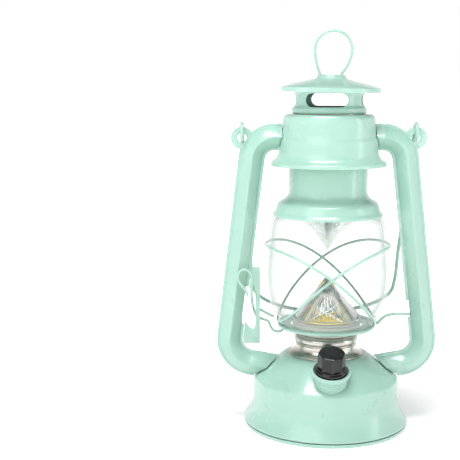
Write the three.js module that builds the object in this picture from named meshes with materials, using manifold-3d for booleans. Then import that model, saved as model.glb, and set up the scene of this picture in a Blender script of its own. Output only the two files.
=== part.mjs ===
// Battery camping lantern in the shape of an old hurricane lamp.
// Millimetres, +Z up. The origin is on the floor under the lantern's axis,
// the control knob faces -Y and the two side tubes lie in the XZ plane.
import * as THREE from 'three';
import * as BufferGeometryUtils from 'three/addons/utils/BufferGeometryUtils.js';
import Module from 'manifold-3d';

const wasm = await Module();
wasm.setup();

// ---------------------------------------------------------------- driving dimensions

const gap = 0.35; // between pieces that touch
const slip = 0.7; // radial clearance between pieces that slide
const sheet = 0.8; // painted steel sheet
const glassWall = 1.8;

const baseRadius = 57.5; // at the folded seam
const wallRadius = 50.8; // upright wall of the fuel font
const shoulderZ = 33; // crease between wall and shoulder
const fontTopZ = 50.2; // flat top of the font
const fontTopRadius = 27; // where the shoulder meets that flat top
const doorRadius = 48.2;

const collarRadius = 22.3; // bead of the metal collar
const skirtRadius = 25.8;
const collarTopZ = 65;

const lensRadius = 24;
const lensHeight = 29;
const ledTopZ = 75.2;

const ringRadius = 33; // middle of the guard's lower ring
const ringWire = 1.3; // wire radii
const hoopWire = 0.95;
const loopWire = 0.8;
const bailWire = 1.3;
const ringZ = 70.8;
const globeBaseZ = 72.5;
const globeHeight = 78.1;
const globeRadius = 42.6;
const globeFootRadius = 32.9;
const globeTopRadius = 34.9;
const hoopMidZ = 110.3; // where the two hoops cross, front and back
const hoopTopZ = 127.4;

const neckRadius = 27.1;
const bellRadius = 37.9;
const flueRadius = 22.6; // tube inside the air chamber
const crownRadius = 23.5;
const crownHeight = 17;
const slotHeight = 9.3;
const capRadius = 34;
const capBossRadius = 8.6;
const capTilt = 1.3; // degrees, right side down
const capShift = 1;
const loopRadius = 12.6;

const chamberRadius = 34.4;
const flangeRadius = 39.7;
const chamberZ = 182.6; // lower edge of the flange
const chamberHeight = 35;
const crownZ = chamberZ + chamberHeight + 1.4; // lower edge of the slotted crown

const tubeHalfWidth = 9; // over the seam flanges
const tubeHalfDepth = 7.9;
const tubeTopZ = 202; // middle of the tube where it leaves the air chamber
const upperBendX = 37;
const upperBendRadius = 16;
const lowerBendX = 50.3;
const lowerBendZ = 60;
const lowerBendRadius = 17.8;
const tubeFootSlope = 10; // degrees below level, where the tube meets the font
const earX = 59.6;
const earRadius = 7.6;
const earHoleRadius = 3.2;

const hookRadius = 5.6; // middle of the bail's hook
const bailLength = 137.4; // from hook centre to the bail's lowest point, along its plane
const bailHalfWidth = 51.5;

const spoutTilt = 20; // degrees forward from upright
const spoutY = -42;
const spoutZ = 49.5;
const spoutRadius = 11;
const spoutLipRadius = 13.3;
const knobSkirtRadius = 10.9;
const knobGripRadius = 8.7;
const knobHeight = 13.8;
const shaftRadius = 3;

const cellRadius = 16.8; // D-size cell
const cellLength = 58;
const trayFloorZ = 5;

const liftTravel = 8; // of the globe
const plateThickness = 1;

const radians = Math.PI / 180;
const facets = 24; // round the large shells
const smallFacets = 14;

// ---------------------------------------------------------------- paint and metals

function material(color, roughness, metalness) {
  return new THREE.MeshStandardMaterial({ color, roughness, metalness });
}

const paint = material(0x9fcdb9, 0.38, 0.1);
const nickel = material(0xb9b4ab, 0.3, 1);
const glass = material(0xf2f7f5, 0.05, 0);
const clearPlastic = material(0xe8efec, 0.08, 0);
const mirror = material(0xd9e2de, 0.08, 1);
const blackPlastic = material(0x17171a, 0.35, 0);
const greyPlastic = material(0x3c3e40, 0.6, 0);
const whiteBoard = material(0xf0efe8, 0.5, 0);
const phosphor = material(0xf2cf3a, 0.55, 0);
const greenBoard = material(0x2b6e45, 0.5, 0);
const springSteel = material(0xa9a9a5, 0.35, 1);
const cellSleeve = material(0x55585c, 0.45, 0.2);
const redWire = material(0xb3261e, 0.5, 0);
const blackWire = material(0x1c1c1c, 0.5, 0);

// ---------------------------------------------------------------- solids

// A closed geometry becomes a solid with its faces outwards.
function solid(geometry) {
  geometry.deleteAttribute('normal');
  geometry.deleteAttribute('uv');
  const merged = BufferGeometryUtils.mergeVertices(geometry, 1e-4);
  const positions = merged.attributes.position.array;
  const corners = merged.index.array;
  const kept = [];
  let volume = 0;
  for (let i = 0; i < corners.length; i += 3) {
    const [a, b, c] = [corners[i], corners[i + 1], corners[i + 2]];
    if (a === b || b === c || c === a) continue;
    kept.push(a, b, c);
    const [p, q, r] = [a, b, c].map((n) => new THREE.Vector3().fromArray(positions, 3 * n));
    volume += p.dot(q.cross(r));
  }
  if (volume < 0) kept.reverse();
  return new wasm.Manifold(new wasm.Mesh({
    numProp: 3,
    vertProperties: Float32Array.from(positions),
    triVerts: Uint32Array.from(kept),
  }));
}

function join(...solids) {
  return solids.reduce((whole, next) => whole.add(next));
}

function cut(body, ...tools) {
  return tools.reduce((left, tool) => left.subtract(tool), body);
}

// Turned about Z from [radius, height] points that start and end on the axis, or close.
function turned(points, segments = facets) {
  const profile = points.map(([r, z]) => new THREE.Vector2(r, z));
  const closed = points[0][0] > 0 || points.at(-1)[0] > 0;
  if (closed) profile.push(profile[0].clone());
  return solid(new THREE.LatheGeometry(profile, segments).rotateX(Math.PI / 2));
}

// The same outline moved sideways; positive is to the right of its direction of travel.
function offsetOutline(points, distance) {
  const normals = points.slice(1).map(([r, z], i) => {
    const [dr, dz] = [r - points[i][0], z - points[i][1]];
    const length = Math.hypot(dr, dz);
    return [dz / length, -dr / length];
  });
  return points.map(([r, z], i) => {
    const before = normals[Math.max(i - 1, 0)];
    const after = normals[Math.min(i, normals.length - 1)];
    const [nr, nz] = [before[0] + after[0], before[1] + after[1]];
    const scale = (2 * distance) / (nr * nr + nz * nz);
    return [r + nr * scale, z + nz * scale];
  });
}

// A sheet-metal or glass shell whose outer outline runs upwards.
function spun(outline, wall, segments = facets) {
  const inner = offsetOutline(outline, -wall).reverse();
  return turned([...outline, ...inner], segments);
}

function disc(radius, bottom, top, hole = 0, segments = facets) {
  if (hole > 0) return turned([[hole, bottom], [radius, bottom], [radius, top], [hole, top]], segments);
  return turned([[0, bottom], [radius, bottom], [radius, top], [0, top]], segments);
}

function block(width, depth, height, x, y, z) {
  return solid(new THREE.BoxGeometry(width, depth, height).translate(x, y, z));
}

// A rod along X, Y or Z through a point.
function rod(radius, length, axis, x, y, z, segments = 12) {
  const geometry = new THREE.CylinderGeometry(radius, radius, length, segments);
  if (axis === 'x') geometry.rotateZ(Math.PI / 2);
  if (axis === 'z') geometry.rotateX(Math.PI / 2);
  return solid(geometry.translate(x, y, z));
}

// A flat outline in the XZ plane, given a thickness along Y.
function plate(shape, thickness, y) {
  const geometry = new THREE.ExtrudeGeometry(shape, {
    depth: thickness, bevelEnabled: false, curveSegments: 6,
  });
  return solid(geometry.rotateX(Math.PI / 2).translate(0, y + thickness / 2, 0));
}

function swept(curve, section, steps) {
  const geometry = new THREE.ExtrudeGeometry(section, {
    steps, bevelEnabled: false, extrudePath: curve,
  });
  return solid(geometry);
}

function roundSection(radius, sides = 6) {
  const shape = new THREE.Shape();
  for (let i = 0; i < sides; i += 1) {
    const angle = (2 * Math.PI * (i + 0.5)) / sides;
    const point = [radius * Math.cos(angle), radius * Math.sin(angle)];
    if (i === 0) shape.moveTo(...point);
    else shape.lineTo(...point);
  }
  shape.closePath();
  return shape;
}

function smoothWire(points, radius, steps, sides = 6) {
  const curve = new THREE.CatmullRomCurve3(points.map((p) => new THREE.Vector3(...p)), false, 'centripetal');
  return swept(curve, roundSection(radius, sides), steps);
}

// A curve given by a function of 0..1.
class Route extends THREE.Curve {
  constructor(place) {
    super();
    this.place = place;
  }

  getPoint(t, target = new THREE.Vector3()) {
    return target.set(...this.place(t));
  }
}

const lantern = new THREE.Group();

function piece(name, shape, finish, parent = lantern) {
  const { vertProperties, triVerts, numProp } = shape.getMesh();
  const positions = new Float32Array((vertProperties.length / numProp) * 3);
  for (let i = 0; i < positions.length / 3; i += 1) {
    for (let k = 0; k < 3; k += 1) positions[3 * i + k] = vertProperties[numProp * i + k];
  }
  const geometry = new THREE.BufferGeometry();
  geometry.setAttribute('position', new THREE.BufferAttribute(positions, 3));
  geometry.setIndex(Array.from(triVerts));
  geometry.computeVertexNormals();
  const mesh = new THREE.Mesh(geometry, finish);
  mesh.name = name;
  parent.add(mesh);
  return mesh;
}

// ---------------------------------------------------------------- font: base, pan and door

const rimTopZ = 2.9;
const doorFacets = 24;
const fontFootZ = rimTopZ + gap;
const flareHeight = 17;

// The skirt curves in from the seam to the upright wall.
function fontOutline() {
  const skirt = [0, 1, 2, 3].map((i) => {
    const share = i / 3;
    const reach = (baseRadius - wallRadius) * (1 - share) ** 2;
    return [wallRadius + reach, fontFootZ + 0.8 + flareHeight * share];
  });
  return [
    [baseRadius, fontFootZ],
    ...skirt,
    [wallRadius, shoulderZ - 1.2],
    [wallRadius - 0.7, shoulderZ + 0.5],
    [fontTopRadius + 4.6, fontTopZ - 1.9],
    [fontTopRadius + 1.6, fontTopZ - 0.5],
    [fontTopRadius - 0.6, fontTopZ],
    [skirtRadius - 5.6, fontTopZ],
  ];
}

// Everything inside the font's outer surface, grown by the gap: it trims what stands on the font.
function fontEnvelope() {
  const grown = offsetOutline(fontOutline(), gap);
  return turned([[0, grown[0][1]], ...grown, [0, grown.at(-1)[1]]]);
}

const alongSpout = new THREE.Matrix4()
  .makeRotationX(spoutTilt * radians)
  .setPosition(0, spoutY, spoutZ);

// A solid made along Z is laid along the spout's axis, with its zero at the spout's mouth.
function onSpout(shape) {
  return shape.transform(alongSpout.toArray());
}

const spoutBore = spoutRadius - 1.2;

function makeFont() {
  const shell = spun(fontOutline(), sheet);
  const spoutHole = onSpout(disc(spoutBore + 0.2, -26, 4, 0, 24));
  piece('font_shell', cut(shell, spoutHole), paint);

  const lip = doorRadius + 0.5;
  piece('base_rim', turned([
    [lip, 1.6],
    [baseRadius - 4.3, 1.6],
    [baseRadius - 2.9, 0],
    [baseRadius - 1.1, 0],
    [baseRadius, 1.2],
    [baseRadius, rimTopZ],
    [baseRadius - 1.2, rimTopZ],
    [baseRadius - 1.6, 1.2],
    [baseRadius - 2.6, 1.2],
    [baseRadius - 3.8, 2.7],
    [lip, 2.7],
  ], doorFacets), paint);
}

function makeDoor() {
  const plateBottom = 1.9;
  const plateTop = 3.1;
  const tabBottom = 3.1;
  const tabTop = 4.2;
  const cover = disc(doorRadius, plateBottom, plateTop, 0, doorFacets);
  const upstand = disc(doorRadius - 0.6, plateTop - 0.2, tabTop, doorRadius - 2.2, doorFacets);
  const grip = block(56, 5, 1.5, 0, 0, plateBottom - 0.6);
  const tabs = [0, 1, 2].map((i) => {
    const angle = (i * 2 * Math.PI) / 3;
    const tab = new THREE.BoxGeometry(4.2, 12, tabTop - tabBottom);
    tab.translate(doorRadius + 0.2, 0, (tabBottom + tabTop) / 2).rotateZ(angle);
    return solid(tab);
  });
  const finger = [-1, 1].map((side) => rod(3.4, 2, 'z', side * 34, 0, plateBottom));
  piece('battery_door', cut(join(cover, upstand, grip, ...tabs), ...finger), blackPlastic);
}

// ---------------------------------------------------------------- battery tray and wiring

const cellX = cellRadius + 0.7;
const cellZ = trayFloorZ + 1.5 + cellRadius;
const trayWallY = cellLength / 2 + 5.6;
const postX = 2 * cellRadius + 8;

function makeCell(name, x, towards) {
  const profile = [
    [0, 0],
    [cellRadius - 1, 0],
    [cellRadius, 1],
    [cellRadius, cellLength - 1],
    [cellRadius - 1, cellLength],
    [4.8, cellLength],
    [4.8, cellLength + 1.5],
    [0, cellLength + 1.5],
  ];
  const geometry = new THREE.LatheGeometry(profile.map(([r, z]) => new THREE.Vector2(r, z - cellLength / 2)), 16);
  if (towards < 0) geometry.rotateX(Math.PI);
  piece(name, solid(geometry.translate(x, 0, cellZ)), cellSleeve);
}

function makeContactSpring(name, x, side) {
  const turns = 2.25;
  const start = cellLength / 2 + gap;
  const length = 2;
  const coil = new Route((t) => {
    const radius = 4.5 + 3.5 * t;
    const angle = 2 * Math.PI * turns * t;
    return [
      x + radius * Math.cos(angle),
      side * (start + 0.3 + (length - 0.6) * t),
      cellZ + radius * Math.sin(angle),
    ];
  });
  piece(name, swept(coil, roundSection(0.3, 4), 22), springSteel);
}

function makeBatteryTray() {
  const halfLength = trayWallY + 1.5;
  const wallHeight = 28;
  const floor = block(4 * cellRadius + 3, 2 * halfLength, 1.2, 0, 0, trayFloorZ + 0.6);
  const walls = [-1, 1].map((side) => (
    block(3.4 * cellRadius, 1.5, wallHeight, 0, side * (halfLength - 0.75), trayFloorZ + wallHeight / 2)
  ));
  const rib = block(0.8, cellLength - 4, 12, 0, 0, trayFloorZ + 6);
  const lugs = [-1, 1].map((side) => block(14, 9, 1.6, side * (postX - 3), 0, trayFloorZ + 0.8));
  const holes = [-1, 1].map((side) => rod(1.6, 6, 'z', side * postX, 0, trayFloorZ));
  piece('battery_tray', cut(join(floor, ...walls, rib, ...lugs), ...holes), greyPlastic);

  makeCell('battery_left', -cellX, 1);
  makeCell('battery_right', cellX, -1);
  makeContactSpring('contact_spring_left', -cellX, -1);
  makeContactSpring('contact_spring_right', cellX, 1);

  const contactY = cellLength / 2 + gap + 2 + gap;
  const contact = (name, width, x, side) => {
    piece(name, block(width, 0.5, 13, x, side * (contactY + 0.25), cellZ), springSteel);
  };
  contact('contact_bridge', 2 * cellX + 13, 0, 1);
  contact('contact_negative', 13, -cellX, -1);
  contact('contact_positive', 13, cellX, -1);

  const postBottom = trayFloorZ + 1.6 + gap;
  for (const side of [-1, 1]) {
    const hand = side < 0 ? 'left' : 'right';
    const post = rod(3, 46, 'z', side * postX, 0, postBottom + 23);
    const inside = turned([[0, 0], ...offsetOutline(fontOutline(), -(sheet + gap)), [0, fontTopZ - sheet - gap]]);
    const bore = rod(1.35, 12, 'z', side * postX, 0, postBottom + 4);
    piece(`tray_post_${hand}`, cut(post.intersect(inside), bore), springSteel);
    piece(`tray_screw_${hand}`, turned([
      [0, trayFloorZ - 1.9],
      [2.8, trayFloorZ - 1.9],
      [2.8, trayFloorZ - gap],
      [1.05, trayFloorZ - gap],
      [1.05, postBottom + 7],
      [0, postBottom + 8],
    ], 12).translate(side * postX, 0, 0), springSteel);
  }
}

const boardZ = 43;
const boardY = 9;

function makeDriverBoard() {
  const board = block(26, 18, 1.6, 0, boardY, boardZ);
  const parts = [
    block(6, 5, 1.8, -6, boardY + 2, boardZ + 1.6),
    block(7, 7, 2.8, 5, boardY + 3, boardZ + 2.1),
    rod(2.4, 4.4, 'z', 7, boardY - 5.5, boardZ + 2.8),
    block(2, 1.2, 0.8, -6, boardY - 5, boardZ + 1.1),
    block(2, 1.2, 0.8, -1, boardY - 5, boardZ + 1.1),
  ];
  piece('driver_board', join(board, ...parts), greenBoard);
}

function makeWiring() {
  const wireRadius = 0.8;
  const contactY = -(cellLength / 2 + 2 + 3 * gap + wireRadius);
  const leadTop = cellZ + cellRadius + 2;
  const lead = (name, side, finish) => piece(name, smoothWire([
    [side * (cellX - 3), contactY - 0.4, cellZ + 8],
    [side * (cellX - 5), contactY - 0.8, cellZ + 14],
    [side * (cellX - 7), contactY + 3, leadTop + 0.4],
    [side * (cellX - 9), -14, leadTop + 1],
    [side * (cellX - 9.5), boardY - 11, boardZ - 1.2],
  ], wireRadius, 10, 5), finish);
  lead('cell_wire_negative', -1, blackWire);
  lead('cell_wire_positive', 1, redWire);

  const riser = (name, side, finish) => piece(name, smoothWire([
    [side * 3.4, boardY + 10.6, boardZ + 1.2],
    [side * 5, boardY + 8.5, fontTopZ - 1],
    [side * 6, 8, 57],
    [side * 6, 5, ledTopZ - 12.3],
  ], wireRadius, 8, 5), finish);
  riser('led_wire_negative', -1, blackWire);
  riser('led_wire_positive', 1, redWire);
}

// ---------------------------------------------------------------- spout, dimmer and knob

function makeSpout() {
  const threads = [0, 1, 2].flatMap((i) => {
    const z = -10.6 + 2.2 * i;
    return [[spoutRadius, z], [spoutRadius + 0.5, z + 0.7], [spoutRadius, z + 1.4]];
  });
  const mouthRadius = knobSkirtRadius + slip;
  const body = turned([
    [spoutBore, -30],
    [spoutRadius, -30],
    ...threads,
    [spoutRadius, -3.6],
    [spoutLipRadius - 0.5, -3],
    [spoutLipRadius, -2.3],
    [spoutLipRadius, -0.6],
    [spoutLipRadius - 0.5, 0],
    [mouthRadius + 0.3, 0],
    [mouthRadius, -0.4],
    [mouthRadius, -3.2],
    [spoutBore, -4],
  ], 24);
  piece('threaded_spout', cut(onSpout(body), fontEnvelope()), paint);

  const bushing = shaftRadius + 0.25;
  piece('dimmer_bulkhead', onSpout(disc(spoutBore - gap, -6.2, -5.4, bushing + 1.4, smallFacets)), nickel);
  piece('dimmer_control', onSpout(turned([
    [0, -14],
    [spoutBore - 1.6, -14],
    [spoutBore - 1.6, -6.6],
    [bushing + 1, -6.6],
    [bushing + 1, -3.2],
    [bushing, -3.2],
    [bushing, -7.4],
    [0, -7.4],
  ], smallFacets)), greyPlastic);
  const nut = new THREE.CylinderGeometry(6.2, 6.2, 1.5, 6).rotateX(Math.PI / 2).translate(0, 0, -4.3);
  const nutBore = rod(bushing + 1.3, 4, 'z', 0, 0, -4.3, smallFacets);
  piece('dimmer_nut', onSpout(cut(solid(nut), nutBore)), nickel);
}

const knobBoreDepth = 8.5;

function makeKnob() {
  const grip = knobGripRadius;
  const body = turned([
    [shaftRadius + 0.3, -1.2],
    [knobSkirtRadius, -1.2],
    [knobSkirtRadius, 1],
    [knobSkirtRadius - 1, 1.8],
    [grip, 2.3],
    [grip - 0.4, knobHeight - 1.1],
    [grip - 1.3, knobHeight],
    [0, knobHeight],
    [0, knobBoreDepth],
    [shaftRadius + 0.3, knobBoreDepth],
  ], 24);
  const flutes = [];
  for (let i = 0; i < 8; i += 1) {
    const angle = ((i + 0.5) * Math.PI) / 4;
    const reach = grip + 5;
    flutes.push(rod(6, knobHeight, 'z', reach * Math.cos(angle), reach * Math.sin(angle), knobHeight / 2 + 2.5, 16));
  }
  piece('dimmer_knob', onSpout(cut(body, ...flutes)), blackPlastic);
  piece('dimmer_shaft', onSpout(disc(shaftRadius, -6.8, knobBoreDepth - gap, 0, 12)), nickel);
}

// ---------------------------------------------------------------- collar and light unit

function makeCollar() {
  const z = fontTopZ + gap;
  piece('collar', spun([
    [skirtRadius, z],
    [skirtRadius, z + 0.7],
    [collarRadius, z + 2.8],
    [collarRadius - 1, z + 3.8],
    [collarRadius - 1, z + 7],
    [collarRadius, z + 7.8],
    [collarRadius, collarTopZ - 1.8],
    [collarRadius - 0.8, collarTopZ - 0.4],
    [collarRadius - 2, collarTopZ],
    [collarRadius - 9, collarTopZ],
  ], sheet, 20), nickel);
}

function makeLight() {
  const cupTop = ledTopZ - 2.4;
  piece('light_holder', turned([
    [collarRadius - 7, collarTopZ + gap],
    [collarRadius - 1.6, collarTopZ + gap],
    [lensRadius - 0.2, collarTopZ + 3],
    [lensRadius - 0.2, cupTop],
    [collarRadius - 4, cupTop],
    [collarRadius - 4, collarTopZ + 2],
    [collarRadius - 7, collarTopZ + 2],
  ], 24), whiteBoard);
  piece('light_board', disc(lensRadius - 0.5, cupTop + gap, ledTopZ - 1, 4, 24), whiteBoard);
  piece('light_emitter', disc(16.2, ledTopZ - 1 + gap, ledTopZ, 5, 24), phosphor);
  // Cone lens: hollow below, so that it closes over the emitter.
  const z = ledTopZ + gap;
  piece('cone_lens', turned([
    [lensRadius - 6, z + 3.6],
    [lensRadius - 2.4, z],
    [lensRadius, z],
    [lensRadius, z + 1.4],
    [0.8, z + lensHeight - 0.6],
    [0, z + lensHeight],
    [0, z + 3.6],
  ], 24), clearPlastic);
}

// ---------------------------------------------------------------- globe and guard

// Outer outline of the glass, upwards: a foot, a barrel and a drawn-in mouth. Each row is a
// share of the height, the end that the row belongs to, and a share of the swell beyond it.
function globeOutline() {
  const shape = [
    [0, globeFootRadius, 0],
    [0.022, globeFootRadius, 0.02],
    [0.075, globeFootRadius, 0.23],
    [0.145, globeFootRadius, 0.57],
    [0.225, globeFootRadius, 0.835],
    [0.34, globeFootRadius, 0.98],
    [0.48, globeFootRadius, 1],
    [0.84, globeTopRadius, 0.675],
    [0.945, globeTopRadius, 0.4],
    [0.965, globeTopRadius, 0.155],
    [1, globeTopRadius, 0],
  ];
  return shape.map(([share, end, swell]) => (
    [end + (globeRadius - end) * swell, globeBaseZ + globeHeight * share]
  ));
}

function globeRadiusAt(z) {
  const outline = globeOutline();
  const i = Math.max(outline.findIndex((point) => point[1] > z), 1);
  const [[r0, z0], [r1, z1]] = [outline[i - 1], outline[i]];
  return THREE.MathUtils.mapLinear(Math.min(Math.max(z, z0), z1), z0, z1, r0, r1);
}

const hoopLowZ = ringZ + ringWire + gap + hoopWire;

function hoopReach(z) {
  return globeRadiusAt(z) + 0.6 + hoopWire;
}

// Each hoop is low on one side, high on the other, and hugs the glass. The second hoop
// bows out where it crosses the first.
function hoopPlace(side, bow) {
  const [low, high] = [hoopReach(hoopLowZ), hoopReach(hoopTopZ)];
  const bend = ((hoopTopZ - hoopMidZ) / high - (hoopMidZ - hoopLowZ) / low) / (high + low);
  const slope = (hoopMidZ - hoopLowZ) / low + bend * low;
  return (t) => {
    const angle = (0.8 + t * (360 - 1.6)) * radians;
    let z = hoopMidZ;
    for (let i = 0; i < 30; i += 1) {
      const x = -hoopReach(z) * Math.cos(angle);
      z = 0.5 * (z + hoopMidZ + slope * x + bend * x * x);
    }
    const reach = hoopReach(z) + bow * Math.sin(angle) ** 4;
    return [side * -reach * Math.cos(angle), -reach * Math.sin(angle), z];
  };
}

function makeGlobe() {
  piece('globe', spun(globeOutline(), glassWall), glass);
  piece('globe_plate', disc(ringRadius - ringWire - gap, ringZ - 0.4, ringZ + 0.4, lensRadius + slip), paint);
  const ring = new THREE.TorusGeometry(ringRadius, ringWire, 6, 28);
  piece('guard_ring', solid(ring.translate(0, 0, ringZ)), paint);

  const bow = 2 * hoopWire + gap;
  piece('guard_hoop_left', swept(new Route(hoopPlace(1, 0)), roundSection(hoopWire), 34), paint);
  piece('guard_hoop_right', swept(new Route(hoopPlace(-1, bow)), roundSection(hoopWire), 34), paint);

  const ringEdge = ringRadius + ringWire + gap;
  piece('guide_wire_right', smoothWire([
    [ringEdge + 0.8, 0, ringZ - 0.4],
    [ringEdge + 2, 0, ringZ + 0.8],
    [ringEdge + 5.6, 0, ringZ + 4.6],
    [ringEdge + 10, 0, ringZ + 6.5],
    [ringEdge + 24, 0, ringZ + 6.9],
  ], 1, 12), paint);
  const hoopEdge = hoopReach(hoopLowZ) + hoopWire + gap + 1.2;
  piece('guide_wire_left', smoothWire([
    [-hoopEdge, 2.6, hoopLowZ + 1.6],
    [-hoopEdge - 4, 2.6, hoopLowZ + 3.6],
    [-hoopEdge - 10.6, 2.6, hoopLowZ + 7.3],
  ], 1, 5), paint);
}

// ---------------------------------------------------------------- chimney

const bellZ = globeBaseZ + globeHeight - 2.6;

function makeChimney() {
  const neckTopZ = chamberZ + 9.8;
  piece('bell_and_neck', spun([
    [bellRadius, bellZ],
    [bellRadius, bellZ + 1.5],
    [bellRadius - 1.7, bellZ + 3.2],
    [bellRadius - 2.9, bellZ + 6.6],
    [bellRadius - 3.7, bellZ + 8.4],
    [bellRadius - 6.7, bellZ + 10.8],
    [neckRadius + 1.2, bellZ + 12.6],
    [neckRadius, bellZ + 15.4],
    [neckRadius, neckTopZ - 0.8],
    [neckRadius - 0.8, neckTopZ],
    [flueRadius + gap, neckTopZ],
  ], sheet), paint);
  piece('flue_tube', disc(flueRadius, chamberZ + 5, crownZ + 2.6, flueRadius - sheet), nickel);

  const holderZ = bellZ + 16.4;
  piece('reflector_holder', disc(neckRadius - sheet - gap, holderZ, holderZ + 1.2, 6), greyPlastic);

  // Both cones point down into the globe: a mirror cone inside a clear one.
  const coneFootZ = holderZ - gap;
  const mirrorTipZ = bellZ - 20.8;
  const mirrorRadius = 18;
  const mirrorTopZ = mirrorTipZ + mirrorRadius / Math.tan(31.5 * radians);
  piece('mirror_cone', spun([
    [0.6, mirrorTipZ],
    [mirrorRadius, mirrorTopZ],
    [mirrorRadius, coneFootZ],
  ], -0.6, 24), mirror);
  const clearTipZ = bellZ - 24.8;
  const clearRadius = 21;
  const clearTopZ = clearTipZ + clearRadius / Math.tan(40 * radians);
  piece('clear_cone', turned([
    [0, clearTipZ],
    [clearRadius, clearTopZ],
    [clearRadius, coneFootZ],
    [clearRadius - 1.2, coneFootZ],
    [clearRadius - 1.2, clearTopZ + 0.4],
    [0, clearTipZ + 1.9],
  ], 24), clearPlastic);
}

const crownTurn = -9.8; // degrees about the axis, as the crown happens to sit

function stadium(halfWidth, height) {
  const shape = new THREE.Shape();
  const r = height / 2;
  shape.absarc(halfWidth - r, 0, r, -Math.PI / 2, Math.PI / 2);
  shape.absarc(r - halfWidth, 0, r, Math.PI / 2, (3 * Math.PI) / 2);
  shape.closePath();
  return shape;
}

function makeCrown() {
  const r = crownRadius;
  const top = crownZ + crownHeight;
  const shell = spun([
    [r + 1, crownZ],
    [r + 2, crownZ + 1.2],
    [r + 2, crownZ + 2.4],
    [r + 0.3, crownZ + 3.6],
    [r, crownZ + 8],
    [r + 0.3, crownZ + 12.8],
    [r + 2.2, crownZ + 14.4],
    [r + 2.2, top],
  ], sheet);
  const slotZ = crownZ + 8.2;
  const wide = plate(stadium((r + 0.3) * Math.sin(36.5 * radians), slotHeight), 80, 0);
  const narrow = plate(stadium((r + 0.3) * Math.sin(19.5 * radians), slotHeight), 80, 0).rotate([0, 0, 90]);
  const slots = join(wide, narrow).rotate([0, 0, crownTurn]).translate(0, 0, slotZ);
  piece('slotted_crown', cut(shell, slots), paint);
}

const capZ = crownZ + 13.4; // lower edge of the cap's turned-down rim

function makeCap() {
  const assembly = new THREE.Group();
  assembly.position.set(capShift, 0, capZ);
  assembly.rotation.y = capTilt * radians;
  lantern.add(assembly);

  const bossTop = 11.6;
  const footX = capBossRadius - 1.4;
  const shell = spun([
    [capRadius, 0],
    [capRadius, 2.6],
    [capRadius - 0.5, 3.1],
    [capRadius - 8.6, 5.7],
    [capBossRadius + 0.6, 9.3],
    [capBossRadius, 10.1],
    [capBossRadius - 0.5, bossTop - 0.4],
    [capBossRadius - 1.2, bossTop],
  ], sheet);
  const lid = disc(capBossRadius - 1.1, bossTop - sheet, bossTop);
  const holes = [-1, 1].map((side) => rod(loopWire + 0.3, 8, 'z', side * footX, 0, bossTop));
  piece('cap', cut(join(shell, lid), ...holes), paint, assembly);

  // Finger loop: a round bow on two legs that pass through the boss.
  const bowZ = bossTop + 17;
  const bowX = 0.8;
  const legTurn = Math.asin((loopRadius - footX - 0.6) / loopRadius) + 18 * radians;
  const points = [[-footX, 0, bossTop - 2.4], [-footX, 0, bossTop + 0.6]];
  const arcSteps = 12;
  for (let i = 0; i <= arcSteps; i += 1) {
    const angle = Math.PI + legTurn - (i * (Math.PI + 2 * legTurn)) / arcSteps;
    points.push([bowX + loopRadius * Math.cos(angle), 0, bowZ + loopRadius * Math.sin(angle)]);
  }
  points.push([footX, 0, bossTop + 0.6], [footX, 0, bossTop - 2.4]);
  piece('finger_loop', smoothWire(points, loopWire, 28), paint, assembly);
}

// ---------------------------------------------------------------- air chamber

function chamberOutline() {
  const r = chamberRadius;
  const top = chamberZ + chamberHeight;
  return [
    [flangeRadius, chamberZ],
    [flangeRadius, chamberZ + 2],
    [flangeRadius - 1, chamberZ + 3],
    [r + 1.3, chamberZ + 5],
    [r, chamberZ + 7.9],
    [r - 0.9, chamberZ + 17.9],
    [r - 1.9, chamberZ + 19.6],
    [r - 2.9, top - 3.4],
    [r - 3.8, top - 1],
    [r - 5.8, top],
    [flueRadius + slip, top],
  ];
}

function makeChamber() {
  piece('air_chamber', spun(chamberOutline(), sheet), paint);
  const floorZ = chamberZ + 1.4;
  piece('chamber_floor', disc(flangeRadius - sheet - 0.7, floorZ, floorZ + sheet, neckRadius + slip), paint);

  const bottom = chamberZ + 9.8 + gap;
  const top = chamberZ + chamberHeight - sheet - gap;
  const springWire = 0.6;
  const turns = 4;
  const middle = (flueRadius + neckRadius) / 2 + 0.7;
  const coil = new Route((t) => {
    const angle = 2 * Math.PI * turns * t;
    const z = bottom + springWire + 0.2 + (top - bottom - 2 * springWire - 0.4) * t;
    return [middle * Math.cos(angle), middle * Math.sin(angle), z];
  });
  piece('chimney_spring', swept(coil, roundSection(springWire, 4), 40), springSteel);
}

// ---------------------------------------------------------------- side tubes

// Middle line of the right tube in the XZ plane: out of the chamber, down, and in to the font.
function tubeCentre() {
  const rise = tubeTopZ - upperBendRadius - lowerBendZ;
  const run = lowerBendX - upperBendX;
  const tilt = Math.atan2(run, rise) + Math.asin((lowerBendRadius - upperBendRadius) / Math.hypot(run, rise));
  const upperZ = tubeTopZ - upperBendRadius;
  const footAngle = -Math.PI / 2 + tubeFootSlope * radians;
  const path = new THREE.Path();
  path.moveTo(chamberRadius - 8, tubeTopZ);
  path.lineTo(upperBendX, tubeTopZ);
  path.absarc(upperBendX, upperZ, upperBendRadius, Math.PI / 2, tilt, true);
  path.absarc(lowerBendX, lowerBendZ, lowerBendRadius, tilt, footAngle, true);
  const end = path.currentPoint.clone();
  const reach = end.x - (fontTopRadius + 1);
  path.lineTo(end.x - reach, end.y - reach * Math.tan(tubeFootSlope * radians));
  return { path, tilt, upperZ };
}

const tubeLine = tubeCentre();

const tubeSteps = 22;

function tubeRoute(side) {
  return new Route((t) => {
    const point = tubeLine.path.getPointAt(t);
    return [side * point.x, 0, point.y];
  });
}

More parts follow.
